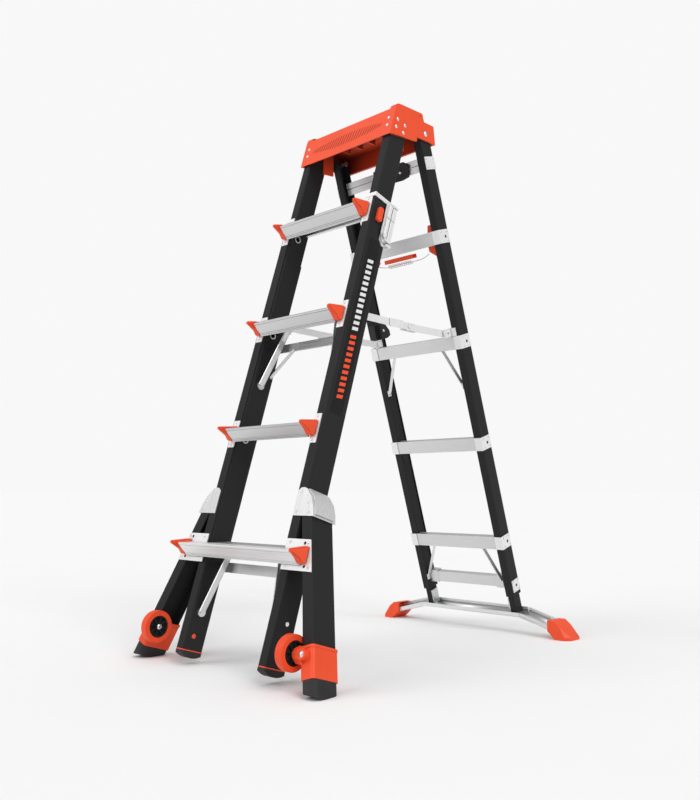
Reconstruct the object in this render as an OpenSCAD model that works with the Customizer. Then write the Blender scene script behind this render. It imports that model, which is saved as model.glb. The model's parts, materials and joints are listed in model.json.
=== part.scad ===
// Multi position step ladder: two telescoping front sections, two telescoping rear
// sections, a moulded top cap and a pair of folding spreaders, shown at its lowest height.
// The front rails lean back, the rear rails lean forward. Front parts are placed in the
// front rail frame (x across, y through the rail's depth, z up along the rail), rear parts
// in the matching rear rail frame, and treads in a level frame at their own nose.

/* [Stance] */
// Lean of the front rails from vertical
front_tilt = 17.3; // [16.8:0.1:17.8]
// Lean of the rear rails from vertical
rear_tilt = 17.9; // [17.4:0.1:18.4]
// Y where the front rails' front plane meets the floor
front_base = -514; // [-518:1:-510]
// Y where the rear rungs' front plane meets the floor
rear_base = 494.5; // [492:0.5:497]

/* [Steps] */
// Distance between steps and between rungs, along the rail
step_pitch = 304.8; // [300:0.1:308]
// Height of the first step's nose along the front rail
step_top = 1208.6; // [1200:0.1:1215]
// Half length of the narrow treads' metal
tread_half = 144; // [140:1:144]
// Half length of the wide bottom tread's metal
wide_half = 213; // [205:1:216]
// Depth of a front tread from its nose to the rail
tread_depth = 42.5; // [38:0.5:42.5]
// Height of a front tread's face
tread_drop = 34; // [28:1:36]

/* [Front rails] */
// Outer face of the front outer rails, from the middle
outer_face = 174; // [174:1:176]
// Width of a front outer rail
outer_w = 29; // [27:1:29]
// Depth of a front outer rail
outer_d = 70; // [70:1:72]
// Wall of a front outer rail
outer_t = 3.5; // [3:0.1:3.5]
// Width of a front inner rail
inner_w = 28; // [26:1:28]
// Depth of a front inner rail
inner_d = 62; // [58:1:62]

/* [Flared legs] */
// Spread of the legs from the rail, in the front plane
leg_angle = 18.8; // [17:0.1:20]
// Outer face of a leg at the top of its boot pad
leg_x = 326; // [320:1:330]
// Width of a leg
leg_w = 32; // [30:1:34]
// Radius of the transport wheels
wheel_r = 39.5; // [36:0.5:40]

/* [Rear rails] */
// Outer face of the rear outer rails, from the middle
rear_face = 172; // [170:1:172]
// Width of a rear outer rail
rear_w = 26; // [24:1:26]
// Depth of a rear outer rail
rear_d = 44; // [42:1:46]
// Height of the top rung's upper edge along the rear rail
rung_top = 1215.6; // [1205:0.1:1220]
// Height of a rung's face
rung_h = 38.5; // [34:0.5:40]

/* [Top cap] */
// Half width of the cap
cap_half = 177; // [177:1:180]
// Wall of the cap
cap_t = 4; // [3:0.5:4]

/* [Hidden] */
$fn = 32;
eps = 0.01;
mid_y = 454;                    // shift that puts the origin under the middle of the stance
inner_face = outer_face - outer_t - 0.5;
rail_gap = 4;                   // from the front plane to an inner rail's front
plate_t = 2.5;
step_v = -44;                   // a tread's nose stands this far in front of the rails
rail_foot_u = 46.5;             // lower end of the front inner rails
rail_top_u = 1515;              // upper end of the front inner rails
outer_low_u = 262;
outer_top_u = 1250;
lock_u = 1203;                  // height of the lock pins along the front rail
lock_v = 28;
lock_r = 6;
hinge_y = 517.6 - mid_y;        // rear section's hinge, at the back of the cap
hinge_z = 1420.2;
hinge_r = 5;
rear_front = plate_t;           // the rear rails' front face lies behind the rungs' faces
rear_low = 112;
rear_lock_u = rung_top - 20.5;
rear_pin_r = 4.2;
rear_lock_v = 27;
knee_u = 384;                   // lower edge of the knee brackets
orange = "orangered";
black = [0.12, 0.12, 0.13];
silver = "silver";
white_metal = "lightgray";
knee_y = 487 - mid_y;           // knee of the open spreaders
knee_z = 872.5;
spread_front_y = 293 - mid_y;
spread_front_z = 877;
spread_rear_y = 650 - mid_y;
spread_rear_z = 874;

// ---- frames and helpers -------------------------------------------------------------

module front() translate([0, front_base, 0]) rotate([-front_tilt, 0, 0]) children();
module rear() translate([0, rear_base, 0]) rotate([rear_tilt, 0, 0]) children();
module side(s) if (s > 0) children(); else mirror([1, 0, 0]) children();
module both() for (s = [1, -1]) side(s) children();

// Level frame at the nose of front tread k, counted from the top
module level(k) front() translate([0, step_v, step_top - (k - 1) * step_pitch])
    rotate([front_tilt, 0, 0]) children();

// Frame of the right flared leg: x 0 is its outer face, z runs up along it
module leg() front() translate([leg_x, 0, 45]) rotate([0, -leg_angle, 0]) children();

// Extrude an outline drawn in (y, z) along x, from x0 to x1
module along_x(x0, x1) translate([x0, 0, 0]) rotate([90, 0, 90]) linear_extrude(x1 - x0) children();

// Extrude an outline drawn in (x, z) along y, from y0 to y1
module along_y(y0, y1) translate([0, y1, 0]) rotate([90, 0, 0]) linear_extrude(y1 - y0) children();

module block(x, y, z) translate([x[0], y[0], z[0]]) cube([x[1] - x[0], y[1] - y[0], z[1] - z[0]]);

module rod_x(p, x0, x1, r) translate([x0, p[0], p[1]]) rotate([0, 90, 0]) cylinder(r = r, h = x1 - x0);

module rod_y(p, y0, y1, r) translate([p[0], y1, p[1]]) rotate([90, 0, 0]) cylinder(r = r, h = y1 - y0);

// Rectangle with round corners, between two corners
module round_rect(a, b, r) {
    translate([a[0] + r, a[1]]) square([b[0] - a[0] - 2 * r, b[1] - a[1]]);
    translate([a[0], a[1] + r]) square([b[0] - a[0], b[1] - a[1] - 2 * r]);
    for (x = [a[0] + r, b[0] - r], y = [a[1] + r, b[1] - r]) translate([x, y]) circle(r);
}

// Round headed rivet: head above z 0, shank below
module rivet(r = 4, shank = plate_t) {
    if (shank > 0) translate([0, 0, -shank]) cylinder(r = r * 0.55, h = shank);
    rotate_extrude() intersection() {
        translate([0, -r * 0.9]) circle(r * 1.35);
        square([r, r]);
    }
}

// Flat strap from p to q, w wide and t thick, with its face turned towards x
module strap(p, q, w, t) {
    d = q - p;
    translate(p) rotate([0, atan2(norm([d[0], d[1]]), d[2]), atan2(d[1], d[0])])
        translate([-t / 2, -w / 2, 0]) cube([t, w, norm(d)]);
}

// ---- upper front section -------------------------------------------------------------

// Side outline of the cap in (y, z): its deck is level, its side rims rise to the back
cap_low = 1377;
cap_high = 1460;
cap_peak = 1475;
cap_shelf = 1453;
cap_skin = 4.5;                 // thickness of the deck
cap_front = front_base - 2.4;
function cap_y(z) = cap_front + z * tan(front_tilt);
cap_rear = 560 - mid_y;
cap_back_step = 508 - mid_y;
cap_notch = 480 - mid_y;

module cap_outline() polygon([[cap_y(cap_low), cap_low], [cap_y(cap_high), cap_high],
    [cap_back_step - 4, cap_peak], [cap_back_step + 3, cap_shelf],
    [cap_rear - 7, cap_shelf], [cap_rear, 1400], [cap_notch, 1400], [cap_notch - 1, 1387]]);

module cap_hollow() polygon([[cap_y(cap_low - 20) + cap_t, cap_low - 20],
    [cap_y(cap_high - cap_skin) + cap_t, cap_high - cap_skin], [cap_back_step - 9, cap_high - cap_skin],
    [cap_back_step, cap_shelf - 4], [cap_rear - 11, cap_shelf - 4], [cap_rear - 5, cap_low - 20]]);

// Ear over each front rail, running back to the rim's highest point
module cap_ear() polygon([[cap_y(cap_high) - 0.3, cap_high - 1], [cap_y(cap_high) + 5, cap_high + 9],
    [cap_y(cap_high) + 14, cap_high + 12], [cap_back_step - 8, cap_peak], [cap_back_step - 5, cap_high]]);

cap_rivet_u = [1474, 1498];
cap_side_v = [15, 46];

module top_cap() color(orange) difference() {
    union() {
        difference() {
            along_x(-cap_half, cap_half) cap_outline();
            along_x(cap_t - cap_half, cap_half - cap_t) cap_hollow();
        }
        both() along_x(cap_half - 22, cap_half) cap_ear();
        // pads that the front rails stand against, and tongues behind their inner edges
        both() along_x(inner_face - inner_w - 5, inner_face - inner_w - 0.2) polygon([[-32, 1362], [10, 1366],
            [10, cap_high - 1], [-32, cap_high - 1]]);
        both() intersection() {
            along_x(130, cap_half) cap_outline();
            front() block([inner_face + 0.2, cap_half - 1], [rail_gap, 66], [1446, 1525]);
        }
        // ribs under the deck
        for (x = [-100 : 50 : 100]) block([x - 1.5, x + 1.5], [cap_y(cap_high) + 1, cap_back_step - 8],
            [cap_high - 26, cap_high - 3]);
        block([2 - cap_half, cap_half - 2], [cap_back_step - 56, cap_back_step - 53],
              [cap_high - 26, cap_high - 3]);
    }
    // level tray between the side rims, with drain holes
    block([-150, 150], [cap_y(cap_high) + 1, cap_back_step - 14], [cap_high, cap_high + 30]);
    for (x = [-75, 75]) translate([x, cap_back_step - 30, cap_high - 30]) cylinder(r = 9, h = 60);
    both() rod_x([cap_back_step - 13, cap_high + 6], cap_half - 5, cap_half + 1, 2);
    both() rod_x([hinge_y, hinge_z], cap_half - 10, cap_half + 5, hinge_r + 0.05);
    both() front() for (u = cap_rivet_u) {
        for (v = cap_side_v) rod_x([v, u], cap_half - 8, cap_half + 2, 2.8);
        rod_y([158, u], -6, rail_gap, 2.8);
    }
}

module cap_rivets() color(silver) both() front() for (u = cap_rivet_u) {
    for (v = cap_side_v) translate([cap_half, v, u]) rotate([0, 90, 0])
        rivet(5, cap_half - inner_face - 0.2);
    translate([158, -2.3, u]) rotate([90, 0, 0]) rivet(5, rail_gap + 2.2);
}

module hinge_bolts() color(silver) both() {
    rod_x([hinge_y, hinge_z], 140, cap_half, hinge_r);
    translate([cap_half, hinge_y, hinge_z]) rotate([0, 90, 0]) rivet(7.5, 1);
    translate([140, hinge_y, hinge_z]) rotate([0, -90, 0]) cylinder(r = 8.5, h = 5, $fn = 6);
}

module front_inner_rail(s) color(black) front() side(s) difference() {
    translate([0, 0, rail_foot_u]) linear_extrude(rail_top_u - rail_foot_u) difference() {
        round_rect([inner_face - inner_w, rail_gap], [inner_face, rail_gap + inner_d], 5);
        round_rect([inner_face - inner_w + 3, rail_gap + 3], [inner_face - 3, rail_gap + inner_d - 3], 2.5);
    }
    for (k = [0 : 3]) rod_x([lock_v, lock_u - k * step_pitch], 100, inner_face + 5, lock_r + 0.4);
}

// Inner tread: top plate with grooves, front and rear lips, set between the inner rails
tread_back = 106;
tread_lip = 13;
module inner_tread_outline() difference() {
    union() {
        translate([48, -2.5]) square([tread_back - 48, 2.5]);
        for (y = [48, tread_back - 2.2]) translate([y, -tread_lip]) square([2.2, tread_lip]);
        for (y = [48, tread_back - 12]) translate([y, -tread_lip]) square([12, 2.2]);
    }
    for (y = [54 : 8 : tread_back - 6]) translate([y, -1]) square([2.5, 2]);
}

inner_half = inner_face - inner_w - 0.4;
module inner_treads() color(white_metal) for (k = [1 : 4]) level(k) along_x(-inner_half, inner_half)
    inner_tread_outline();

module lock_bushes() color(silver) front() both() for (k = [0 : 3])
    translate([inner_face - inner_w, lock_v, lock_u - k * step_pitch]) rotate([0, -90, 0])
        difference() {
            cylinder(r = 10.5, h = 2.2);
            translate([0, 0, -1]) cylinder(r = 7.2, h = 4);
        }

// Crossbars and diagonal straps that stiffen the treads at levels 2 and 4
brace_low = 155;                // a wide strap's foot, below the tread's nose
module inner_braces() color("darkgray") for (k = [2, 4]) front()
    translate([0, 0, step_top - (k - 1) * step_pitch]) {
        block([-inner_half, inner_half], [61.5, 64.5], [-46, -21]);
        both() {
            strap([inner_half - 4, 30, -brace_low], [97, 43, 12], 22, 3);
            rod_x([30, -brace_low], inner_half - 5, inner_half, 11);
            if (k == 2) {
                strap([inner_half - 3.2, 57, -118], [72, 59.5, -42], 9, 2.5);
                rod_x([57, -119], inner_half - 4, inner_half, 5);
            }
        }
    }

foot_sag = 55;
module inner_feet() color(black) front() both() intersection() {
    translate([0, 0, 20]) linear_extrude(24) round_rect([inner_face - inner_w - 0.5, rail_gap - 0.2],
        [inner_face + 0.2, rail_gap + inner_d + 0.2], 5);
    rod_x([rail_gap + inner_d / 2, 28 + foot_sag], 130, 180, foot_sag);
}

module inner_foot_trim() color(orange) front() both() {
    translate([0, 0, 44.05]) linear_extrude(2.4) round_rect([inner_face - inner_w - 1, rail_gap - 0.3],
        [inner_face + 0.3, rail_gap + inner_d + 0.3], 5);
    translate([inner_face - inner_w, 28, 80]) rotate([0, -90, 0]) rivet(6, 0);
}

bracket_points = [[44, 941], [44, 960], [72, 960], [86, 948], [86, 928], [67, 915], [63, 938]];
spreader_r = 3.5;
module spreader_brackets_front() color(white_metal) both() {
    difference() {
        front() along_x(inner_half - 4, inner_half) polygon(bracket_points);
        rod_x([spread_front_y, spread_front_z], 120, 150, spreader_r - 0.5);
    }
    // pivot pin with a head on the link's inner side
    rod_x([spread_front_y, spread_front_z], 127, inner_half - 4, spreader_r);
    rod_x([spread_front_y, spread_front_z], 124.5, 127, 6.5);
}

// ---- lower front section --------------------------------------------------------------

module outer_section() difference() {
    round_rect([outer_face - outer_w, 0], [outer_face, outer_d], 2.5);
    translate([outer_face - outer_w - 5, outer_t]) square([outer_w + 5 - outer_t, outer_d - 2 * outer_t]);
}

module front_outer_rail(s) color(black) front() side(s) difference() {
    translate([0, 0, outer_low_u]) linear_extrude(outer_top_u - outer_low_u) outer_section();
    // the top is cut away behind the lock pin
    along_x(outer_face - outer_w - 1, outer_face + 1)
        polygon([[42, 1148], [80, 1130], [80, 1260], [42, 1260]]);
    rod_x([lock_v, lock_u], outer_face - 8, outer_face + 1, lock_r + 0.05);
}

module leg_section(w, d) difference() {
    round_rect([-w, 0], [0, d], 2.5);
    translate([-w - 5, outer_t]) square([w + 5 - outer_t, d - 2 * outer_t]);
}

leg_low = 9;
module flared_leg(s) color(black) side(s) intersection() {
    union() {
        leg() translate([0, 0, leg_low]) linear_extrude(400) leg_section(leg_w, outer_d);
        // dark web plate that closes the wedge between rail and leg
        front() along_y(40, 43) polygon([[outer_face + 0.3, 264], [outer_face + 0.3, 405],
            [190, 405], [232, 264]]);
    }
    front() block([outer_face + 0.3, 400], [-10, 100], [0, 416]);
}

module knee_outer() polygon([[149, knee_u], [149, 444], [158, 451], [168, 452], [178, 449],
    [199, 428], [211, 405], [217, knee_u]]);
module knee_inner() polygon([[120, knee_u - 5], [120, 470], [outer_face + 0.1, 470],
    [outer_face + 0.1, 446.5], [178, 442], [196, 424], [207.5, 403], [213.8, knee_u - 5]]);

knee_rivets = [[160.9, 440], [193.2, 415], [160, 393], [200.6, 392]];
module knee_bracket(s) color(white_metal) front() side(s) difference() {
    union() {
        along_y(-plate_t, outer_d + plate_t) knee_outer();
        // raised rib along the folded edge
        along_y(4, outer_d - 6) polygon([[178, 451], [201.5, 429.5], [213.5, 405.5], [218.5, knee_u + 6],
            [214, knee_u + 6], [200, 420], [178, 440]]);
    }
    along_y(0, outer_d + 0.1) knee_inner();
    for (p = knee_rivets) rod_y(p, -6, 3, 2.2);
}

// Orange boot around the end of a leg, with the arm that carries the wheel
boot_h = 70;
wheel_v = -9;
wheel_u = 85;
wheel_x = 254.5;
module boot(s) color(orange) side(s) difference() {
    union() {
        leg() linear_extrude(boot_h) round_rect([-leg_w - 4, -4.5], [4, outer_d + 4], 8);
        leg() translate([0, 0, boot_h - 6]) linear_extrude(5)
            round_rect([-leg_w - 5.2, -5.7], [5.2, outer_d + 5.2], 9);
        // arm from the boot's front face to the axle
        front() {
            rod_x([wheel_v, wheel_u], wheel_x + 12, wheel_x + 21, 10);
            along_x(wheel_x + 14, 292) polygon([[wheel_v - 9, wheel_u - 9], [wheel_v - 9, wheel_u + 9],
                [-4, wheel_u + 18], [-4, wheel_u - 20]]);
            rod_y([293, wheel_u + 1], wheel_v - 9, -4, 12);
        }
    }
    leg() translate([0, 0, leg_low - 0.2]) linear_extrude(100)
        round_rect([-leg_w - 0.1, -0.1], [0.1, outer_d + 0.1], 2.5);
    front() rod_x([wheel_v, wheel_u], wheel_x, wheel_x + 30, 4.05);
    front() rod_y([293, wheel_u + 1], wheel_v - 10, -1, 3.9);
    // clearance for the turning wheel
    front() rod_x([wheel_v, wheel_u], wheel_x - 30, wheel_x + 11.4, wheel_r + 2.5);
}

pad_r = 130;
module boot_pads() color(black) both() intersection() {
    leg() translate([0, 0, -70]) linear_extrude(70) round_rect([-leg_w - 5, -5], [5, outer_d + 4.5], 18);
    translate([0, front_base + 56, pad_r - 2]) rotate([0, 90, 0]) cylinder(r = pad_r, h = 500, $fn = 96);
    block([200, 420], [front_base - 60, front_base + 160], [0, 90]);
}

// Front tread: hollow wedge with grooved top and sloping ribbed face
tread_heel = tread_depth - tread_drop * tan(front_tilt);
tread_toe = tread_heel - 4;
module tread_outline(inset = 0) polygon([[1 + 2.4 * inset, -2 - 0.9 * inset], [3 + inset, -inset],
    [tread_depth - inset, -inset], [tread_heel - inset, inset - tread_drop],
    [tread_toe + 0.2 * inset, inset - tread_drop]]);

module tread(k, half) color(white_metal) level(k) difference() {
    along_x(-half, half) difference() {
        tread_outline();
        tread_outline(2);
        for (y = [9 : 8 : 34]) translate([y, -0.9]) square([2.5, 2]);
        for (t = [0.14, 0.8, 0.9]) translate([1 + (tread_toe - 1) * t, -2 - (tread_drop - 2) * t]) rotate(45)
            square(1, center = true);
    }
}

// End cap of a tread: a shell with a round nose that reaches further out towards its end, and a
// round lobe at the foot of its face
function arc(c, r, a0, a1, n) = [for (i = [0 : n]) let (t = a0 + (a1 - a0) * i / n) c + r * [cos(t), sin(t)]];
function cap_edge(reach, inset) = concat([[tread_depth - 0.3, 7.5 - inset]],
    arc([4.5 - reach, 0.5], 4.6 - inset, 85, 205, 6), [[13.8 + inset / 2, -17.5 + inset]],
    arc([26, -24], 6.8 - inset, 200, 262, 4), [[tread_heel - 0.5, -30.8 + inset]]);

cap_len = 18;
cap_slabs = [[0.05, 5, 1], [4.9, 10, 7], [9.9, 16, 11.5]];  // start, end and reach of each stretch
module end_cap(half) {
    for (c = cap_slabs) along_x(half + c[0], half + c[1]) polygon(cap_edge(c[2], 0));
    along_x(half + 15.9, half + cap_len) polygon(cap_edge(11, 1.4));
}

module step_end_caps() color(orange) both() {
    for (k = [1 : 3]) level(k) end_cap(tread_half);
    level(4) end_cap(wide_half);
}

plate_up = 37;
plate_down = 37;
wide_plate = [[149.5, 258.5], [149.5, 330], [227.5, 330], [251.5, 258.5]];
module step_brackets() color(white_metal) front() both() difference() {
    union() {
        for (k = [1 : 3]) block([outer_face - outer_w, 167.5], [-plate_t, -0.05],
            [step_top - (k - 1) * step_pitch - plate_down, step_top - (k - 1) * step_pitch + plate_up]);
        along_y(-plate_t, -0.05) polygon(wide_plate);
    }
    for (p = bracket_rivets) rod_y(p, -6, 1, 2.2);
    for (p = [[212, 321], [225, 269]]) rod_y(p, -6, 1, 4);
}

bracket_rivets = concat(
    [for (k = [1 : 3], d = [-31, 31]) [156, step_top - (k - 1) * step_pitch + d]],
    [[223, 322.5], [239, 266.5], [163, 266.5], [163, 322.5]]);

module front_rivets() color(silver) front() both() {
    for (p = concat(bracket_rivets, knee_rivets)) translate([p[0], -plate_t, p[1]])
        rotate([90, 0, 0]) rivet(3.6, plate_t - 0.05);
    // wheel axle bolts and the bolts that hold the wheel arms to the boots
    rod_x([wheel_v, wheel_u], wheel_x - 13, wheel_x + 20, 4);
    translate([wheel_x - 13, wheel_v, wheel_u]) rotate([0, -90, 0]) rivet(6.5, 1);
    translate([293, wheel_v - 9, wheel_u + 1]) rotate([90, 0, 0]) rivet(7, 7);
}

// Collar round the rail's top with the plate and ears that carry the latch lever
lever_v = 74;
lever_x = 181.5;
ear_w = 6;
module latch_frame(s) color(white_metal) front() side(s) {
    difference() {
        union() {
            block([141, outer_face + 3], [-3, -0.05], [1246, 1257]);
            block([outer_face + 0.05, outer_face + 3], [-3, 82], [1246, 1257]);
            block([142.4, outer_face + 3], [79, 82], [1246, 1257]);
            along_x(outer_face + 0.05, outer_face + 3) polygon([[46, 1140], [46, 1250], [82, 1250],
                [82, 1127], [58, 1127]]);
            for (u = [1129, 1244.5]) block([outer_face + 0.05, lever_x + 5], [lever_v - 8, lever_v + 8],
                [u, u + ear_w]);
        }
        translate([lever_x, lever_v, 1120]) cylinder(r = 2.45, h = 140);
    }
    translate([lever_x, lever_v, 1127]) cylinder(r = 2.4, h = 126);
}

module latch_lever(s) color("gainsboro") front() side(s) difference() {
    union() {
        along_x(outer_face + 4.4, outer_face + 8) polygon([[42, 1243.5], [77, 1243.5], [77, 1136],
            [52, 1136], [42, 1160]]);
        along_x(outer_face + 8, outer_face + 13) polygon([[46, 1240], [77, 1240], [77, 1140],
            [56, 1140], [46, 1162]]);
    }
    translate([lever_x, lever_v, 1100]) cylinder(r = 2.45, h = 200);
    // groove that parts the lever's two ribs
    block([outer_face + 11, outer_face + 15], [60, 62], [1150, 1245]);
}

// Lock pin with its orange knob
module lock_pin(s) color(orange) front() side(s) {
    rod_x([lock_v, lock_u], inner_face + 0.35, outer_face + 2, lock_r);
    along_x(outer_face + 0.6, outer_face + 9) round_rect([lock_v - 11, lock_u - 21],
        [lock_v + 6.5, lock_u + 19], 6);
}

module wheel_ring(r0, r1, half) rotate_extrude() difference() {
    round_rect([r0, -half], [r1, half], 3);
    translate([r0 - 1, -half - 1]) square([4, 2 * half + 2]);
}

module tyre(s) color(orange) side(s) front() translate([wheel_x, wheel_v, wheel_u]) rotate([0, 90, 0])
    wheel_ring(24, wheel_r, 10.5);

module hub(s) color(black) side(s) front() translate([wheel_x, wheel_v, wheel_u]) rotate([0, 90, 0])
    difference() {
        union() {
            difference() {
                translate([0, 0, -9]) cylinder(r = 26.9, h = 18);
                for (z = [-10, 3]) translate([0, 0, z]) cylinder(r = 23.5, h = 7);
            }
            translate([0, 0, -11]) cylinder(r = 9, h = 22);
            for (a = [0 : 45 : 315]) rotate(a) translate([8, -1.5, -8]) cube([17, 3, 16]);
        }
        translate([0, 0, -20]) cylinder(r = 4.05, h = 40);
    }

// ---- upper rear section ---------------------------------------------------------------

function rung_u(k) = rung_top - k * step_pitch;
rung_d = 20;                    // depth of a rung's channel; the lock gear slides past behind it
rear_top_u = 1496;

module rear_outer_rail(s) color(black) difference() {
    rear() side(s) translate([0, 0, rear_low]) linear_extrude(rear_top_u - rear_low) difference() {
        round_rect([rear_face - rear_w, rear_front], [rear_face, rear_front + rear_d], 2.5);
        translate([rear_face - rear_w - 5, rear_front + 3]) square([rear_w + 2, rear_d - 6]);
    }
    side(s) rod_x([hinge_y, hinge_z], 130, 190, hinge_r + 0.05);
    rear() side(s) for (k = [0 : 3])
        rod_x([rear_lock_v, rear_lock_u - k * step_pitch], 160, 190, rear_pin_r + 0.4);
}

module rear_rungs() color(white_metal) rear() for (k = [0 : 3]) {
    u = rung_u(k) - rung_h;
    block([-rear_face, rear_face], [0, rear_front - 0.05], [u, u + rung_h]);
    for (z = [u, u + rung_h - 2]) block([-145.5, 145.5], [rear_front - 0.1, rung_d], [z, z + 2]);
    for (z = [u, u + rung_h - 6]) block([-145.5, 145.5], [rung_d - 2, rung_d], [z, z + 6]);
}

// Plates that wrap the rungs' ends, and the side plates at the rails' two ends
end_plate_t = 2.5;
module rung_end_plates() color(silver) rear() both() difference() {
    union() {
        for (k = [0 : 3]) {
            block([150, rear_face + end_plate_t], [-2, -0.05], [rung_u(k) - rung_h, rung_u(k)]);
            block([rear_face + 0.05, rear_face + end_plate_t], [-2, 43], [rung_u(k) - rung_h, rung_u(k)]);
        }
        block([rear_face + 0.05, rear_face + end_plate_t], [4, 46], [1386, 1422]);
        block([rear_face + 0.05, rear_face + end_plate_t], [8, 44], [124, 160]);
    }
    for (k = [0 : 3]) rod_x([rear_lock_v, rear_lock_u - k * step_pitch], 160, 190, rear_pin_r + 0.4);
    rod_x([27, 142], 160, 190, 4.5);
    for (p = end_rivets) rod_x(p, 160, 190, 1.9);
}

end_rivets = concat([for (k = [0 : 3], v = [9, 36], d = [-7, -32]) [v, rung_u(k) + d]],
    [for (v = [14, 38], u = [129, 155]) [v, u]], [for (v = [10, 40], u = [1392, 1416]) [v, u]]);

module rear_rivets() color(silver) rear() {
    both() for (p = end_rivets) translate([rear_face + end_plate_t, p[0], p[1]]) rotate([0, 90, 0])
        rivet(3, end_plate_t - 0.05);
    for (p = bar_rivets) translate([p[0], 12, p[1]]) rotate([90, 0, 0]) rivet(4.5, 0);
    translate([-118, 13.5, 962]) rotate([90, 0, 0]) rivet(4.5, 0);
}

module rear_braces() color("darkgray") rear() both() for (k = [1, 3]) {
    u = rung_u(k) - rung_h;
    strap([94, 10, u - 0.7], [rear_face - rear_w - 2.6, 8.5, u - 108], 12, 2.5);
    block([rear_face - rear_w - 3, rear_face - rear_w - 0.05], [rear_front + 0.1, 14.5], [u - 118, u - 100]);
}

bar_low = 1389;
module top_crossbars() color(silver) rear() for (u = [bar_low, bar_low + 19]) difference() {
    block([-148, 148], [20, 33], [u, u + 17]);
    block([-150, 150], [22, 31], [u + 2, u + 15]);
}

// Black plate in front of the crossbars, and the black moulding on the left rail above rung 2
bar_rivets = [[71, 1404], [-8, 1404]];
module black_brackets() color(black) rear() {
    along_y(12, 19.95) polygon([[-28, 1384], [-28, 1430], [87, 1430], [105, 1416], [97, 1384], [73, 1380]]);
    side(-1) {
        along_y(13.5, 19) polygon([[145.9, 937], [145.9, 984], [112, 984], [98, 960], [98, 944], [112, 937]]);
        block([142, 145.9], [-1, 19], [937, 984]);
        block([145.8, 168], [-1, rear_front - 0.05], [937, 984]);
    }
}

// Small plates that carry the rear spreader links' pivot pins
module spreader_brackets_rear() color(white_metal) both() {
    difference() {
        rear() union() {
            along_x(138, 145.9)
                polygon([[-27, 914], [-27, 930], [-20, 935.5], [18, 935.5], [18, 911.5], [-24, 911.5]]);
            block([145.8, 162], [-1.5, rear_front - 0.05], [911.5, 935.5]);
        }
        rod_x([spread_rear_y, spread_rear_z], 120, 150, spreader_r - 0.5);
    }
    rod_x([spread_rear_y, spread_rear_z], 122, 138, spreader_r);
    rod_x([spread_rear_y, spread_rear_z], 119.5, 122, 6.5);
}

grip_u = rung_top - rung_h - 20;
module release_handle() color(orange) rear() {
    block([-64, 46], [22, 42], [grip_u, grip_u + 4]);
    for (v = [22, 39]) block([-64, 46], [v, v + 3], [grip_u + 2, grip_u + 12]);
}

// Tube swept along points given in the rear frame; each ring stands square to the route
function unit(v) = v / norm(v);
function tangent(p, i) = unit(p[min(i + 1, len(p) - 1)] - p[max(i - 1, 0)]);
function ring(c, t, r, n) = let (a = unit(cross(t, [0, 1, 0.02])), b = cross(t, a))
    [for (j = [0 : n - 1]) c + r * (cos(360 * j / n) * a + sin(360 * j / n) * b)];
module sweep(p, r, n) {
    rings = [for (i = [0 : len(p) - 1]) each ring(p[i], tangent(p, i), r, n)];
    sides = [for (i = [0 : len(p) - 2], j = [0 : n - 1]) let (a = i * n + j, b = i * n + (j + 1) % n)
        each [[a, b, b + n], [a, b + n, a + n]]];
    start = [for (j = [1 : n - 2]) [0, j + 1, j]];
    last = (len(p) - 1) * n;
    end = [for (j = [1 : n - 2]) [last, last + j, last + j + 1]];
    polyhedron(rings, concat(start, sides, end), 10);
}

spring_u = rung_top - 68;
spring_turns = 11;
module handle_spring() color(silver) rear()
    sweep([for (i = [0 : 14 * spring_turns]) [-58 + 92 * i / (14 * spring_turns),
        30.5 + 5 * cos(360 * i / 14), spring_u + 5.5 * sin(360 * i / 14)]], 0.9, 6);

cable_route = [for (t = [-1 : 0.1 : 1])
    [100 * t, 30.5, spring_u + (abs(t) < 0.6 ? 0 : 60 * pow(abs(t) - 0.6, 2))]];
module handle_cable() color(silver) rear() sweep(cable_route, 1.4, 8);

// Orange plates at the top of the lower section that guide its lock pins, joined by a bar
inboard = rear_face - 23.05;    // the inner rails' inner face
module rear_lock_plates() color(orange) rear() {
    both() difference() {
        union() {
            along_y(38, 43) polygon([[98, 1188], [110, 1238], [inboard, 1240], [inboard, 1140], [130, 1140],
                [98, 1164]]);
            block([110, 124], [22, 39], [rear_lock_u - 12, rear_lock_u + 12]);
        }
        rod_x([rear_lock_v, rear_lock_u], 90, 170, rear_pin_r + 0.05);
    }
    block([-100, 100], [38, 41], [rear_lock_u - 2, rear_lock_u + 18]);
}

module rear_lock_pin(s) color(silver) rear() side(s) {
    rod_x([rear_lock_v, rear_lock_u], 106, rear_inner_face + 0.1, rear_pin_r);
    rod_x([rear_lock_v, rear_lock_u], 140, 143, 5.2);
}

// ---- lower rear section ---------------------------------------------------------------

rear_inner_face = rear_face - 3.5;
module rear_inner_rail(s) color(black) rear() side(s) difference() {
    translate([0, 0, 56]) linear_extrude(1242 - 56) difference() {
        round_rect([rear_face - 23, rear_front + 3.5], [rear_inner_face, rear_front + rear_d - 3.5], 4);
        round_rect([rear_face - 20.5, rear_front + 6], [rear_inner_face - 2.5, rear_front + rear_d - 6], 2);
    }
    rod_x([rear_lock_v, rear_lock_u], 140, 180, rear_pin_r + 0.4);
}

module rear_inner_rung() rear() {
    color(white_metal) difference() {
        block([-110, 110], [16, 34], [137, 170]);
        block([-112, 112], [18, 36], [139, 168]);
    }
    color(black) both() block([110.05, rear_face - 23.05], [15.5, 38], [134, 173]);
}

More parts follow.
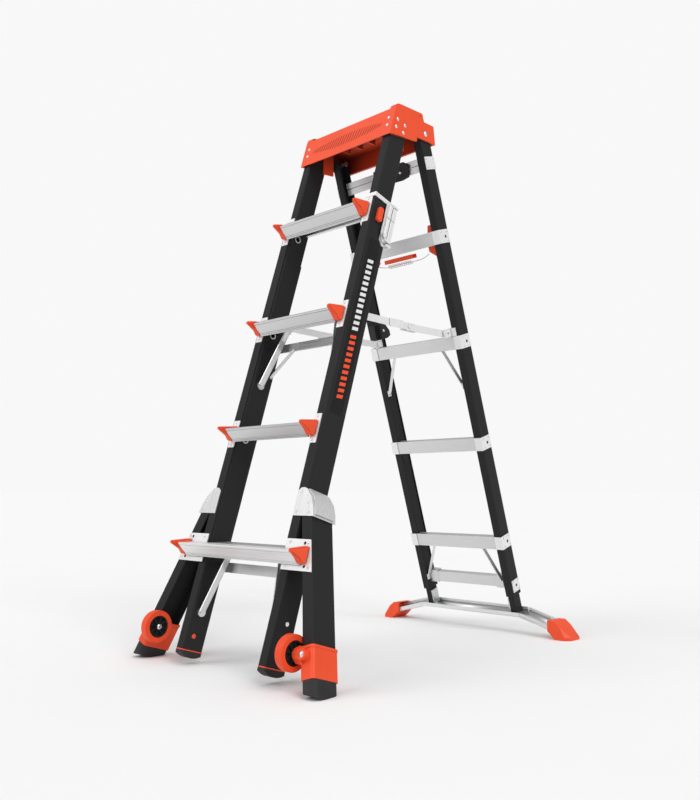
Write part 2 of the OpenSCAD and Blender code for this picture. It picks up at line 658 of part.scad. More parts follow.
// Base bar: open channel that the inner rails stand in, with ends bent down to the feet
bar_y = 925 - mid_y;
bar_half = 185;
bar_angle = 15;
bar_base = 50;
module bar_outline() polygon([[0, 0], [0, 12], [3, 12], [3, 3], [49, 3], [49, 18], [46.5, 20], [46.5, 26],
    [52, 26], [52, 0]]);
module bar_end() translate([bar_half, bar_y, bar_base]) rotate([0, bar_angle, 0]) children();
module bar_arm() bar_end() along_x(-0.5, 120) bar_outline();

module base_bar() color(silver) {
    along_x(-bar_half - 0.5, bar_half + 0.5) translate([bar_y, bar_base]) bar_outline();
    both() bar_arm();
}

foot_in = 284;
foot_out = 354;
module base_feet() color(orange) both() difference() {
    hull() {
        block([foot_in, foot_in + 20], [bar_y - 8, bar_y + 60], [22, 52]);
        block([foot_in + 34, foot_in + 38], [bar_y - 7, bar_y + 58], [8, 39]);
        block([foot_in + 26, foot_out - 14], [bar_y - 11, bar_y + 62], [0, 10]);
        block([foot_out - 14, foot_out], [bar_y + 6, bar_y + 50], [0, 8]);
    }
    bar_end() block([-10, 120.2], [-0.2, 52.2], [-0.2, 27]);
}
module base_brackets() color(silver) both() {
    // angle bracket on each rail's inner face, knurled plate and foot in the channel
    difference() {
        rear() block([rear_face - 27, rear_face - 23.1], [9, 38], [58, 104]);
        rear() for (u = [88, 100]) rod_x([24, u], 140, 160, 2);
    }
    block([122, 145.5], [bar_y + 8, bar_y + 44], [bar_base + 3.05, bar_base + 6]);
    rear() for (u = [88, 100]) translate([rear_face - 27, 24, u]) rotate([0, -90, 0]) rivet(3, 3.8);
}

// ---- spreaders ------------------------------------------------------------------------

link_h = 19;
module link(a, b, x0, x1, h) difference() {
    rise = [0, h / 2];
    union() {
        for (p = [a, b]) rod_x(p, x0, x1, h / 2 + 1.5);
        along_x(x0, x1) polygon([a - rise, a + rise, b + rise, b - rise]);
    }
    rod_x(a, x0 - 1, x1 + 1, spreader_r + 0.05);
}

module spreader_front_links() color(white_metal) both() {
    link([spread_front_y, spread_front_z], [knee_y, knee_z], 133, 137, link_h);
    // stop block on the link near the knee, and the knee rivet's outer head
    block([136.9, 139.5], [knee_y - 82, knee_y - 27], [knee_z - 10, knee_z + 12]);
    rod_x([knee_y, knee_z], 136.9, 139, 5.5);
}

module spreader_rear_links() color(white_metal) both() {
    link([spread_rear_y, spread_rear_z], [knee_y, knee_z], 128, 132.4, link_h);
    block([124, 128.1], [knee_y - 24, knee_y + 36], [knee_z - 12, knee_z + 12]);
    rod_x([knee_y, knee_z], 121.5, 124.1, 5.5);
}

top_cap();
cap_rivets();
hinge_bolts();
front_inner_rail(-1);  // front_inner_rail_left
front_inner_rail(1);  // front_inner_rail_right
inner_treads();
lock_bushes();
inner_braces();
inner_feet();
inner_foot_trim();
spreader_brackets_front();
front_outer_rail(-1);  // front_outer_rail_left
front_outer_rail(1);  // front_outer_rail_right
knee_bracket(-1);  // knee_bracket_left
knee_bracket(1);  // knee_bracket_right
flared_leg(-1);  // flared_leg_left
flared_leg(1);  // flared_leg_right
boot(-1);  // boot_left
boot(1);  // boot_right
boot_pads();
tread(1, tread_half);  // step_1
tread(2, tread_half);  // step_2
tread(3, tread_half);  // step_3
tread(4, wide_half);  // step_4
step_end_caps();
step_brackets();
front_rivets();
latch_frame(-1);  // latch_frame_left
latch_frame(1);  // latch_frame_right
tyre(-1);  // tyre_left
tyre(1);  // tyre_right
hub(-1);  // hub_left
hub(1);  // hub_right
latch_lever(-1);  // latch_lever_left
latch_lever(1);  // latch_lever_right
lock_pin(-1);  // lock_pin_left
lock_pin(1);  // lock_pin_right
rear_outer_rail(-1);  // rear_outer_rail_left
rear_outer_rail(1);  // rear_outer_rail_right
rear_rungs();
rung_end_plates();
rear_braces();
rear_rivets();
top_crossbars();
black_brackets();
spreader_brackets_rear();
release_handle();
handle_spring();
handle_cable();
rear_lock_plates();
rear_lock_pin(-1);  // rear_lock_pin_left
rear_lock_pin(1);  // rear_lock_pin_right
rear_inner_rail(-1);  // rear_inner_rail_left
rear_inner_rail(1);  // rear_inner_rail_right
rear_inner_rung();
base_bar();
base_feet();
base_brackets();
spreader_front_links();
spreader_rear_links();
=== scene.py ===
import json
import math

import bmesh
import bpy
from mathutils import Matrix, Vector


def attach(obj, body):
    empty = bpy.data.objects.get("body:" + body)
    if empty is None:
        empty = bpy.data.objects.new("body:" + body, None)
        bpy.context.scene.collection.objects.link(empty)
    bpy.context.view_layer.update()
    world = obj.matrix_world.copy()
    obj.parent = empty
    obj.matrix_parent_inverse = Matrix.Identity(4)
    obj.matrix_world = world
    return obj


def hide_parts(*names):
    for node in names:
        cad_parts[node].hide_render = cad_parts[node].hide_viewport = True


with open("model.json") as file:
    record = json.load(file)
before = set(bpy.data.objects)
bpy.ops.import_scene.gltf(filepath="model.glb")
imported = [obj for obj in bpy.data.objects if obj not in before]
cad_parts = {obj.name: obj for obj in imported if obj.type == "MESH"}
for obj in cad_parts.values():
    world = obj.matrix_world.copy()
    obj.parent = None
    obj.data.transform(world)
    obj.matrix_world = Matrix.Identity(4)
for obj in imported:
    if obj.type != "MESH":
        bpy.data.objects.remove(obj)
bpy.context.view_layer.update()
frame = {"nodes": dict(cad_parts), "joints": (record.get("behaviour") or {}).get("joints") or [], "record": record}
NODES = frame["nodes"]
JOINTS = {j["name"]: j for j in frame["joints"]}
MM = 0.001


# ---- frames taken from the record ------------------------------------------------------

class Rail:
    """Coordinates (x, v, u): across, through the rail's depth, and up along the rail."""

    def __init__(self, slide_joint, front_node):
        self.up = -Vector(JOINTS[slide_joint]["axis"]).normalized()
        self.depth = self.up.cross(Vector((1, 0, 0))).normalized()
        self.zero_v = 0.0
        self.zero_v = self.span(front_node)[0][1]

    def span(self, node):
        """Lowest and highest (x, v, u) of a CAD node."""
        local = [self.local(v.co) for v in NODES[node].data.vertices]
        return Vector(map(min, zip(*local))), Vector(map(max, zip(*local)))

    def local(self, p):
        return Vector((p.x, p.dot(self.depth) - self.zero_v, p.dot(self.up)))

    def point(self, x, v, u):
        return Vector((x, 0, 0)) + self.depth * (v + self.zero_v) + self.up * u

    def matrix(self, x=0.0, v=0.0, u=0.0):
        """A frame with its x across, y through the depth and z up the rail, at that point."""
        m = Matrix((Vector((1, 0, 0)), self.depth, self.up)).transposed().to_4x4()
        m.translation = self.point(x, v, u)
        return m


FRONT = Rail("front_extend", "front_outer_rail_right")
REAR = Rail("rear_extend", "rear_rungs")
FRONT_TILT = math.atan2(FRONT.up.y, FRONT.up.z)
REAR_TILT = math.atan2(REAR.up.y, REAR.up.z)


# ---- materials -------------------------------------------------------------------------

class Nodes:
    """Small helper that builds a shader's node tree."""

    def __init__(self, name):
        self.material = bpy.data.materials.new(name)
        self.material.use_nodes = True
        self.tree = self.material.node_tree
        self.shader = self.tree.nodes["Principled BSDF"]
        self.place = self.add("ShaderNodeTexCoord").outputs["Object"]

    def add(self, kind, inputs=(), **settings):
        node = self.tree.nodes.new(kind)
        for key, value in settings.items():
            setattr(node, key, value)
        for key, value in dict(inputs).items():
            if isinstance(value, bpy.types.NodeSocket):
                self.tree.links.new(value, node.inputs[key])
            else:
                node.inputs[key].default_value = value
        return node

    def stretched(self, scale, tilt=0.0):
        """Object coordinates turned to a rail's lean, then scaled along each axis."""
        turned = self.add("ShaderNodeMapping", {"Vector": self.place, "Rotation": (tilt, 0, 0)})
        return self.add("ShaderNodeMapping", {"Vector": turned.outputs[0], "Scale": scale}).outputs[0]

    def noise(self, vector, scale, detail=3.0, rough=0.55):
        return self.add("ShaderNodeTexNoise", {"Vector": vector, "Scale": scale, "Detail": detail,
            "Roughness": rough}).outputs["Fac"]

    def ramp(self, value, low, high, low_at=0.3, high_at=0.7):
        """Maps a value in low_at..high_at to low..high, for numbers or colours."""
        if isinstance(low, (int, float)):
            node = self.add("ShaderNodeMapRange", {"Value": value, "From Min": low_at, "From Max": high_at,
                "To Min": low, "To Max": high})
            return node.outputs["Result"]
        node = self.add("ShaderNodeValToRGB", {"Fac": value})
        stops = node.color_ramp.elements
        stops[0].position, stops[1].position = low_at, high_at
        stops[0].color, stops[1].color = (*low, 1), (*high, 1)
        return node.outputs["Color"]

    def mix(self, factor, a, b):
        """Blends colour a into b by the factor."""
        node = self.add("ShaderNodeMix", data_type="RGBA")
        for socket, value in ((0, factor), (6, a), (7, b)):
            if isinstance(value, bpy.types.NodeSocket):
                self.tree.links.new(value, node.inputs[socket])
            else:
                node.inputs[socket].default_value = value if socket == 0 else (*value, 1)
        return node.outputs[2]

    def worn_edges(self, low=0.515, high=0.56):
        """A mask that is 1 along convex edges."""
        sharp = self.add("ShaderNodeNewGeometry").outputs["Pointiness"]
        return self.ramp(sharp, 0.0, 1.0, low, high)

    def finish(self, color, rough, bump=None, strength=0.1, distance=0.0004, edge=0.0007, **fixed):
        """Connects colour, roughness and bump; every other value is set on the shader's socket."""
        self.tree.links.new(color, self.shader.inputs["Base Color"])
        self.tree.links.new(rough, self.shader.inputs["Roughness"])
        normal = self.add("ShaderNodeBevel", {"Radius": edge}, samples=4).outputs[0]
        if bump is not None:
            normal = self.add("ShaderNodeBump", {"Height": bump, "Strength": strength, "Distance": distance,
                "Normal": normal}).outputs[0]
        self.tree.links.new(normal, self.shader.inputs["Normal"])
        for key, value in fixed.items():
            self.shader.inputs[key.replace("_", " ")].default_value = value
        return self.material


def tint(color, factor):
    return tuple(min(1.0, c * factor) for c in color)


def moulded_plastic(name, color, rough=0.38, grain=900.0, edge=0.0009, hollow_shade=0.0):
    """Moulded plastic; the last argument sets how far painted shade darkens its deep hollows."""
    n = Nodes(name)
    cloud = n.noise(n.place, 6.0)
    fine = n.noise(n.place, grain, 2.0)
    base = n.ramp(cloud, tint(color, 0.93), tint(color, 1.05))
    scuffs = n.ramp(n.noise(n.stretched((1, 1, 6)), 40.0, 6.0, 0.7), 0.0, 0.35, 0.62, 0.8)
    base = n.mix(scuffs, base, tint(color, 0.8))
    base = n.mix(n.ramp(n.worn_edges(), 0.0, 0.3, 0.0, 1.0), base, tint(color, 1.25))
    # Painted shade: ambient occlusion darkens the colour towards 6% of itself in deep hollows such as the cap's
    # underside.
    if hollow_shade:
        open_sky = n.add("ShaderNodeAmbientOcclusion", {"Distance": 0.15}, samples=6).outputs["AO"]
        base = n.mix(n.ramp(open_sky, hollow_shade, 0.0, 0.25, 0.8), base, tint(color, 0.06))
    roughness = n.ramp(n.noise(n.place, 60.0, 4.0), rough - 0.06, rough + 0.1)
    return n.finish(base, roughness, fine, 0.18, 0.0002, edge, Specular_IOR_Level=0.3)


def fibreglass(name, tilt, color=(0.0052, 0.0052, 0.0056)):
    """Satin black pultruded rail: faint strands and ribs that run along it."""
    n = Nodes(name)
    strands = n.noise(n.stretched((900, 900, 9), tilt), 1.0, 3.0)
    broad = n.noise(n.stretched((70, 70, 2.5), tilt), 1.0, 2.0)
    base = n.ramp(strands, tint(color, 0.75), tint(color, 1.4))
    base = n.mix(n.ramp(broad, 0.0, 0.5), base, tint(color, 1.5))
    base = n.mix(n.ramp(n.worn_edges(), 0.0, 0.6, 0.0, 1.0), base, (0.035, 0.035, 0.037))
    roughness = n.ramp(strands, 0.38, 0.52)
    return n.finish(base, roughness, strands, 0.25, 0.00015, 0.0008, Specular_IOR_Level=0.1)


def brushed(name, scale, color=(0.66, 0.665, 0.67), rough=0.34, tilt=0.0, metallic=0.85):
    """Satin aluminium with fine drawn lines; scale sets which way the lines run."""
    n = Nodes(name)
    lines = n.noise(n.stretched(scale, tilt), 1.0, 4.0, 0.6)
    cloud = n.noise(n.place, 9.0, 3.0)
    base = n.ramp(lines, tint(color, 0.86), tint(color, 1.08))
    base = n.mix(n.ramp(cloud, 0.0, 0.25), base, tint(color, 0.88))
    base = n.mix(n.ramp(n.worn_edges(), 0.0, 0.5, 0.0, 1.0), base, (0.9, 0.9, 0.9))
    # Painted shade: ambient occlusion over 6 mm darkens grooves and narrow gaps towards a fifth of the colour.
    groove_shade = n.add("ShaderNodeAmbientOcclusion", {"Distance": 0.006}, samples=6).outputs["AO"]
    base = n.mix(n.ramp(groove_shade, 0.75, 0.0, 0.3, 0.85), base, tint(color, 0.2))
    roughness = n.ramp(lines, rough - 0.06, rough + 0.12)
    return n.finish(base, roughness, lines, 0.22, 0.00012, 0.0006, Metallic=metallic)


def zinc(name, color=(0.72, 0.73, 0.74), rough=0.3):
    """Plated steel with a fine spangle."""
    n = Nodes(name)
    spangle = n.add("ShaderNodeTexVoronoi", {"Vector": n.place, "Scale": 420.0}).outputs["Color"]
    grey = n.add("ShaderNodeRGBToBW", {"Color": spangle}).outputs[0]
    base = n.ramp(grey, tint(color, 0.85), tint(color, 1.1), 0.2, 0.8)
    base = n.mix(n.ramp(n.noise(n.place, 35.0), 0.0, 0.3), base, tint(color, 0.75))
    roughness = n.ramp(n.noise(n.place, 200.0), rough - 0.05, rough + 0.12)
    return n.finish(base, roughness, n.noise(n.place, 700.0), 0.1, 0.0001, 0.0005, Metallic=0.95)


def rubber(name, color=(0.012, 0.012, 0.013)):
    """Dull black rubber with a little dust."""
    n = Nodes(name)
    grain = n.noise(n.place, 500.0, 3.0)
    base = n.ramp(n.noise(n.place, 30.0, 4.0), tint(color, 0.8), tint(color, 1.8))
    dust = n.ramp(n.noise(n.place, 12.0, 6.0, 0.7), 0.0, 0.4, 0.55, 0.8)
    base = n.mix(dust, base, (0.05, 0.048, 0.045))
    return n.finish(base, n.ramp(grain, 0.6, 0.8), grain, 0.4, 0.0003, 0.001)


ORANGE = (0.86, 0.082, 0.024)
PLATE = (0.9, 0.9, 0.905)
FINE, COARSE, LONG = 1400, 380, 6        # scales of the drawn lines, across and along them
LOOKS = {
    "orange": moulded_plastic("orange_moulding", ORANGE),
    # The cap's copy of the orange moulding carries painted shade in its hollows.
    "orange_cap": moulded_plastic("orange_cap_shaded_moulding", ORANGE, hollow_shade=0.9),
    "orange_tyre": moulded_plastic("orange_tyre_plastic", (0.85, 0.075, 0.02), 0.45, 500.0, 0.0015),
    "black_plastic": moulded_plastic("black_moulding", (0.016, 0.016, 0.017), 0.42),
    "rail_front": fibreglass("front_rail_fibreglass", FRONT_TILT),
    "rail_rear": fibreglass("rear_rail_fibreglass", REAR_TILT),
    "rubber": rubber("foot_rubber"),
    "drawn_x": brushed("drawn_aluminium_across", (LONG, FINE, FINE), (0.53, 0.533, 0.537)),
    "drawn_tread": brushed("drawn_aluminium_tread", (LONG, COARSE, COARSE), (0.44, 0.443, 0.447)),
    "drawn_step": brushed("drawn_aluminium_step", (LONG, COARSE, COARSE), PLATE, metallic=0.3),
    "drawn_bright": brushed("drawn_aluminium_bright", (LONG, FINE, FINE), (0.76, 0.765, 0.77),
        metallic=0.6),
    "knee_plate": brushed("knee_aluminium", (FINE, FINE, LONG), (0.82, 0.82, 0.825), 0.3,
        FRONT_TILT, 0.6),
    "plate_front": brushed("plate_aluminium_front", (FINE, FINE, LONG), PLATE, 0.42, FRONT_TILT, 0.25),
    "plate_rear": brushed("plate_aluminium_rear", (FINE, FINE, LONG), PLATE, 0.42, REAR_TILT, 0.25),
    "drawn_front": brushed("drawn_aluminium_front", (FINE, FINE, LONG), tilt=FRONT_TILT),
    "drawn_rear": brushed("drawn_aluminium_rear", (FINE, FINE, LONG), tilt=REAR_TILT),
    "zinc": zinc("zinc_plate"),
    "bolt": zinc("bolt_steel", (0.8, 0.8, 0.81), 0.22),
    "label": moulded_plastic("label_film", (0.006, 0.006, 0.0065), 0.3, 60.0, 0.0003),
    "dash_orange": moulded_plastic("label_orange", ORANGE, 0.35, 60.0, 0.0001),
    # Painted shade: the raised relief and ribs are the orange moulding painted at half its brightness.
    "orange_relief_shaded": moulded_plastic("orange_relief_shaded", tint(ORANGE, 0.5), 0.45),
    "dash_pale": moulded_plastic("label_pale", (0.75, 0.75, 0.75), 0.35, 60.0, 0.0001),
}
NODE_LOOKS = {
    "orange_cap": ["top_cap"],
    "orange": ["boot_left", "boot_right", "step_end_caps", "lock_pin_left", "lock_pin_right",
        "release_handle", "rear_lock_plates", "base_feet", "inner_foot_trim"],
    "orange_tyre": ["tyre_left", "tyre_right"],
    "black_plastic": ["hub_left", "hub_right", "black_brackets"],
    "rail_front": ["front_inner_rail_left", "front_inner_rail_right", "front_outer_rail_left",
        "front_outer_rail_right", "flared_leg_left", "flared_leg_right"],
    "rail_rear": ["rear_outer_rail_left", "rear_outer_rail_right", "rear_inner_rail_left",
        "rear_inner_rail_right"],
    "rubber": ["inner_feet", "boot_pads"],
    "drawn_x": ["inner_treads", "rear_rungs", "rear_inner_rung"],
    "drawn_tread": ["step_1", "step_2", "step_3"],
    "drawn_step": ["step_4"],
    "drawn_bright": ["top_crossbars", "base_bar"],
    "drawn_front": ["inner_braces", "spreader_brackets_front"],
    "knee_plate": ["knee_bracket_left", "knee_bracket_right"],
    "plate_front": ["step_brackets", "latch_frame_left", "latch_frame_right", "latch_lever_left",
        "latch_lever_right", "spreader_front_links", "spreader_rear_links"],
    "drawn_rear": ["rear_braces"],
    "plate_rear": ["rung_end_plates", "spreader_brackets_rear"],
    "zinc": ["lock_bushes", "base_brackets", "handle_spring", "handle_cable"],
    "bolt": ["cap_rivets", "hinge_bolts", "front_rivets", "rear_rivets", "rear_lock_pin_left",
        "rear_lock_pin_right"],
}


def paint(obj, look):
    obj.data.materials.clear()
    obj.data.materials.append(LOOKS[look])
    return obj


for look, names in NODE_LOOKS.items():
    for name in names:
        paint(NODES[name], look)


RUNG_END = 14 * MM             # length of the black block at each end of the lower rear rung


def paint_rung_ends():
    """The lower rear rung ends in black blocks."""
    obj = NODES["rear_inner_rung"]
    obj.data.materials.append(LOOKS["black_plastic"])
    half = max(abs(v.co.x) for v in obj.data.vertices)
    for face in obj.data.polygons:
        if all(abs(obj.data.vertices[i].co.x) > half - RUNG_END for i in face.vertices):
            face.material_index = 1


paint_rung_ends()


# ---- piece building ---------------------------------------------------------------------

BODY_OF = {n: body for body, members in frame["record"]["behaviour"]["bodies"].items() for n in members}
LOOK_OF = {name: look for look, names in NODE_LOOKS.items() for name in names}
SMOOTH_ANGLE = math.radians(32)
SIDES = ((-1, "left"), (1, "right"))


def finished(name, bm, look, body, replaces=()):
    """Makes a piece from bm, paints it, and lets it ride on a CAD body."""
    bmesh.ops.recalc_face_normals(bm, faces=bm.faces)
    mesh = bpy.data.meshes.new(name)
    bm.to_mesh(mesh)
    bm.free()
    mesh.polygons.foreach_set("use_smooth", [True] * len(mesh.polygons))
    mesh.set_sharp_from_angle(angle=SMOOTH_ANGLE)
    obj = bpy.data.objects.new(name, mesh)
    bpy.context.scene.collection.objects.link(obj)
    shading = obj.modifiers.new("even_shading", "WEIGHTED_NORMAL")
    shading.keep_sharp = True
    paint(obj, look)
    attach(obj, body)
    if replaces:
        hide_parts(*replaces)
    return obj


def bevel_edges(bm, width, segments=2, angle=28.0):
    """Rounds every edge that turns by more than the angle, in degrees."""
    limit = math.radians(angle)
    sharp = [e for e in bm.edges if len(e.link_faces) == 2 and e.calc_face_angle(0) > limit]
    if sharp:
        bmesh.ops.bevel(bm, geom=sharp, offset=width, segments=segments, profile=0.5, affect="EDGES",
            clamp_overlap=True)


def remade(node, width, segments=2, angle=28.0):
    """A copy of a CAD node's shape with its edges rounded, which stands for that node."""
    bm = bmesh.new()
    bm.from_mesh(NODES[node].data)
    bmesh.ops.remove_doubles(bm, verts=bm.verts, dist=2e-6)
    bmesh.ops.dissolve_limit(bm, angle_limit=math.radians(0.6), verts=bm.verts, edges=bm.edges)
    bevel_edges(bm, width, segments, angle)
    return finished(node + "_rounded", bm, LOOK_OF[node], BODY_OF[node], [node])


def prism(bm, outline, depth, matrix, width=0.0, segments=2):
    """Adds an outline in local (x, y), extruded along local z by depth, with rounded edges."""
    part = bmesh.new()
    lower = [part.verts.new((x, y, 0)) for x, y in outline]
    upper = [part.verts.new((x, y, depth)) for x, y in outline]
    part.faces.new(list(reversed(lower)))
    part.faces.new(upper)
    for i in range(len(outline)):
        j = (i + 1) % len(outline)
        part.faces.new((lower[i], lower[j], upper[j], upper[i]))
    bmesh.ops.recalc_face_normals(part, faces=part.faces)
    if width:
        bevel_edges(part, width, segments)
    part.transform(matrix)
    merged = bpy.data.meshes.new("part")
    part.to_mesh(merged)
    part.free()
    bm.from_mesh(merged)
    bpy.data.meshes.remove(merged)


def rounded_box(x0, x1, y0, y1, radius, steps=5):
    """Outline of a rectangle with round corners, each in so many steps."""
    radius = min(radius, (x1 - x0) / 2 - 1e-6, (y1 - y0) / 2 - 1e-6)
    points = []
    for cx, cy, start in ((x1 - radius, y1 - radius, 0), (x0 + radius, y1 - radius, 90),
            (x0 + radius, y0 + radius, 180), (x1 - radius, y0 + radius, 270)):
        for k in range(steps + 1):
            a = math.radians(start + 90 * k / steps)
            points.append((cx + radius * math.cos(a), cy + radius * math.sin(a)))
    return points


def face_frame(rail, side, x, v=0.0, u=0.0):
    """Local x through the rail's depth, y up the rail, z out of its side face."""
    m = Matrix((rail.depth, rail.up, Vector((side, 0, 0)))).transposed().to_4x4()
    m.translation = rail.point(side * x, v, u)
    return m


def front_frame(rail, x=0.0, v=0.0, u=0.0):
    """Local x across, y up the rail, z out of its front face."""
    m = Matrix((Vector((1, 0, 0)), rail.up, -rail.depth)).transposed().to_4x4()
    m.translation = rail.point(x, v, u)
    return m


# ---- detail pieces ----------------------------------------------------------------------

def make_label():
    """Plain panel on the near rail's outer face, with a generic pattern of slanted dashes."""
    rail = "front_outer_rail_right"
    low, high = FRONT.span(rail)
    top = FRONT.span("step_1")[1].z - 92 * MM
    foot = FRONT.span("step_3")[1].z + 36 * MM
    middle = (low.y + high.y) / 2
    half, film = 20 * MM, 0.4 * MM
    place = face_frame(FRONT, 1, high.x, middle)
    bm = bmesh.new()
    prism(bm, rounded_box(-half, half, foot, top, 3 * MM), film, place, 0.15 * MM)
    finished("rail_panel", bm, "label", BODY_OF[rail])
    place = face_frame(FRONT, 1, high.x + film, middle)
    reach, slant, tall, pitch = 10 * MM, 5 * MM, 9 * MM, 16 * MM
    for name, look, start, end in (("rail_panel_lower_dashes", "dash_orange", 0.08, 0.42),
            ("rail_panel_upper_dashes", "dash_pale", 0.46, 0.88)):
        bm = bmesh.new()
        at = foot + (top - foot) * start
        while at < foot + (top - foot) * end:
            outline = [(-reach, at), (reach, at + slant), (reach, at + slant + tall), (-reach, at + tall)]
            prism(bm, outline, 0.15 * MM, place)
            at += pitch
        finished(name, bm, look, BODY_OF[rail])


def make_cap_relief():
    """Generic raised relief on the cap's front face: a long lens with a row of grip ridges."""
    low, high = FRONT.span("top_cap")
    mid = (FRONT.span("cap_rivets")[0].z + FRONT.span("cap_rivets")[1].z) / 2 - 2 * MM
    place = front_frame(FRONT, 0, low.y + 0.2 * MM, mid)
    half = high.x - 42 * MM
    bm = bmesh.new()
    count, lean = 26, 3.5 * MM
    wide, narrow = 2.2 * MM, 1.4 * MM
    for i in range(count):
        t = -1 + 2 * (i + 0.5) / count
        tall = (4 + 13 * (1 - t * t)) * MM
        x = t * half
        outline = [(x - wide - lean, -tall), (x + narrow - lean, -tall), (x + wide + lean, tall),
            (x - narrow + lean, tall)]
        prism(bm, outline, 0.9 * MM, place, 0.4 * MM)
    finished("cap_front_relief", bm, "orange_relief_shaded", BODY_OF["top_cap"])


def make_lever_ribs():
    """Two long rounded ribs on each latch lever, with a cross seam."""
    for side, name in SIDES:
        node = "latch_lever_" + name
        low, high = FRONT.span(node)
        place = face_frame(FRONT, side, max(abs(low.x), abs(high.x)) - 2.5 * MM)
        bm = bmesh.new()
        width = high.y - low.y
        seam, gap = low.z + 0.62 * (high.z - low.z), 0.7 * MM
        for a, b, foot in ((0.14, 0.46, 10 * MM), (0.54, 0.97, 2 * MM)):
            for start, end in ((low.z + foot, seam - gap), (seam + gap, high.z - 3 * MM)):
                outline = rounded_box(low.y + a * width, low.y + b * width, start, end, 4 * MM)
                prism(bm, outline, 5 * MM, place, 2 * MM, 3)
        finished(node + "_ribs", bm, "plate_front", BODY_OF[node])


def face_patch(node, direction, tolerance=8.0):
    """Frame on the flat face of a CAD node that looks most nearly in a direction: z out of it, y up."""
    mesh = NODES[node].data
    near = [p for p in mesh.polygons if p.normal.dot(direction) > 0.8]
    best = max(near, key=lambda p: p.area).normal
    flat = [p for p in near if p.normal.dot(best) > math.cos(math.radians(tolerance))]
    area = sum(p.area for p in flat)
    middle = sum((p.center * p.area for p in flat), Vector()) / area
    across = Vector((0, 0, 1)).cross(best).normalized()
    m = Matrix((across, best.cross(across), best)).transposed().to_4x4()
    m.translation = middle
    return m


def make_boot_ribs():
    """Three plain raised ribs on each boot's outer face."""
    for side, name in SIDES:
        node = "boot_" + name
        place = face_patch(node, Vector((side, 0, 0)))
        bm = bmesh.new()
        for x, tall in ((-12, 12), (0, 17), (12, 12)):
            outline = rounded_box((x - 2) * MM, (x + 2) * MM, -tall * MM, tall * MM, 2 * MM)
            prism(bm, outline, 1.1 * MM, place, 0.5 * MM)
        finished(node + "_ribs", bm, "orange_relief_shaded", BODY_OF[node])


def make_rail_studs():
    """Flush stud and small hole low on each inner front rail's outer face."""
    low, high = FRONT.span("front_inner_rail_right")
    face = max(abs(low.x), abs(high.x)) - 0.1 * MM
    parts = (("stud", "bolt", "steel", 34, 98, 5), ("hole", "rubber", "black_rail", 24, 110, 3.5))
    for side, name in SIDES:
        node = "front_inner_rail_" + name
        for part, look, slot, v, up, radius in parts:
            place = face_frame(FRONT, side, face, low.y + v * MM, low.z + up * MM)
            r = radius * MM
            bm = bmesh.new()
            prism(bm, rounded_box(-r, r, -r, r, r, 8), 0.3 * MM, place, 0.1 * MM)
            finished("front_rail_" + part + "_" + name, bm, look, BODY_OF[node])


ROUNDED = {                     # CAD nodes remade with round edges, and the radius in millimetres
    "top_cap": 1.6, "step_end_caps": 1.5, "boot_left": 1.8, "boot_right": 1.8, "base_feet": 3.0,
    "knee_bracket_left": 1.0, "knee_bracket_right": 1.0, "lock_pin_left": 1.6, "lock_pin_right": 1.6,
    "latch_lever_left": 1.2, "latch_lever_right": 1.2, "latch_frame_left": 0.8, "latch_frame_right": 0.8,
    "step_1": 0.6, "step_2": 0.6, "step_3": 0.6, "step_4": 0.6, "base_bar": 0.8, "boot_pads": 2.0,
    "spreader_brackets_rear": 1.5, "black_brackets": 1.5, "rear_rungs": 0.5,
}

make_label()
make_cap_relief()
make_lever_ribs()
make_boot_ribs()
make_rail_studs()
for node, width in ROUNDED.items():
    remade(node, width * MM)


# ---- stage, light and camera ------------------------------------------------------------

BACKDROP = 0.94                 # brightness of the backdrop; the lights bring the floor to the same
SOFT_FILL = 0.42                # brightness of the studio round the object
SUNS = (                        # name, azimuth, elevation, strength, softness, all in degrees
    ("key", 75, 42, 1.25, 35),
    ("fill", -25, 36, 1.05, 45),
    ("top", 200, 74, 0.55, 60),
)
FLOOR_ALBEDO = 0.9


def make_stage():
    pale = Nodes("pale_floor")
    grey = (FLOOR_ALBEDO,) * 3
    base = pale.ramp(pale.noise(pale.place, 3.0), tint(grey, 0.995), tint(grey, 1.005))
    material = pale.finish(base, pale.ramp(pale.noise(pale.place, 50.0), 0.85, 0.95), edge=0.0,
        Specular_IOR_Level=0.0)
    bpy.ops.mesh.primitive_circle_add(vertices=96, radius=400, fill_type="NGON", location=(0, 0, 0))
    floor = bpy.context.object
    floor.name = "floor"
    floor.data.materials.append(material)


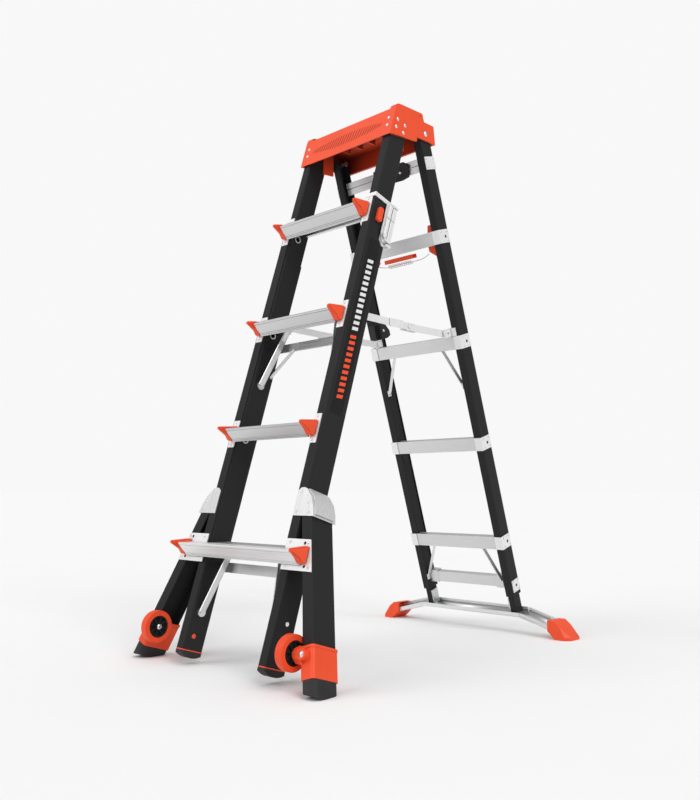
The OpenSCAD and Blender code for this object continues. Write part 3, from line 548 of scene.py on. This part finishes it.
def make_light():
    """Suns of wide angle light the floor evenly to its horizon, over a soft grey studio."""
    scene = bpy.context.scene
    world = scene.world or bpy.data.worlds.new("studio")
    scene.world = world
    world.use_nodes = True
    tree = world.node_tree
    tree.nodes.clear()
    seen, fill = (tree.nodes.new("ShaderNodeBackground") for _ in range(2))
    for node, level in ((seen, BACKDROP), (fill, SOFT_FILL)):
        node.inputs["Color"].default_value = (level, level, level, 1)
    path, mix = tree.nodes.new("ShaderNodeLightPath"), tree.nodes.new("ShaderNodeMixShader")
    output = tree.nodes.new("ShaderNodeOutputWorld")
    tree.links.new(path.outputs["Is Camera Ray"], mix.inputs[0])
    tree.links.new(fill.outputs[0], mix.inputs[1])
    tree.links.new(seen.outputs[0], mix.inputs[2])
    tree.links.new(mix.outputs[0], output.inputs["Surface"])
    for name, azimuth, elevation, strength, softness in SUNS:
        a, e = math.radians(azimuth), math.radians(elevation)
        data = bpy.data.lights.new(name, "SUN")
        data.energy, data.angle = strength, math.radians(softness)
        light = bpy.data.objects.new(name, data)
        scene.collection.objects.link(light)
        back = Vector((math.sin(a) * math.cos(e), -math.cos(a) * math.cos(e), math.sin(e)))
        light.rotation_euler = (-back).to_track_quat("-Z", "Y").to_euler()
    scene.view_settings.view_transform = "Standard"


CAMERA_AZIMUTH = math.radians(44.25)
CAMERA_PITCH = math.radians(6.15)
CAMERA_PLACE = Vector((1621.8, -1724.2, 422.1)) * MM
LENS = 38.16


def make_camera():
    data = bpy.data.cameras.new("camera")
    data.lens, data.sensor_width = LENS, 36
    camera = bpy.data.objects.new("camera", data)
    bpy.context.scene.collection.objects.link(camera)
    camera.location = CAMERA_PLACE
    ahead = Vector((-math.sin(CAMERA_AZIMUTH) * math.cos(CAMERA_PITCH),
        math.cos(CAMERA_AZIMUTH) * math.cos(CAMERA_PITCH), math.sin(CAMERA_PITCH)))
    camera.rotation_euler = ahead.to_track_quat("-Z", "Y").to_euler()
    bpy.context.scene.camera = camera


make_stage()
make_light()
make_camera()
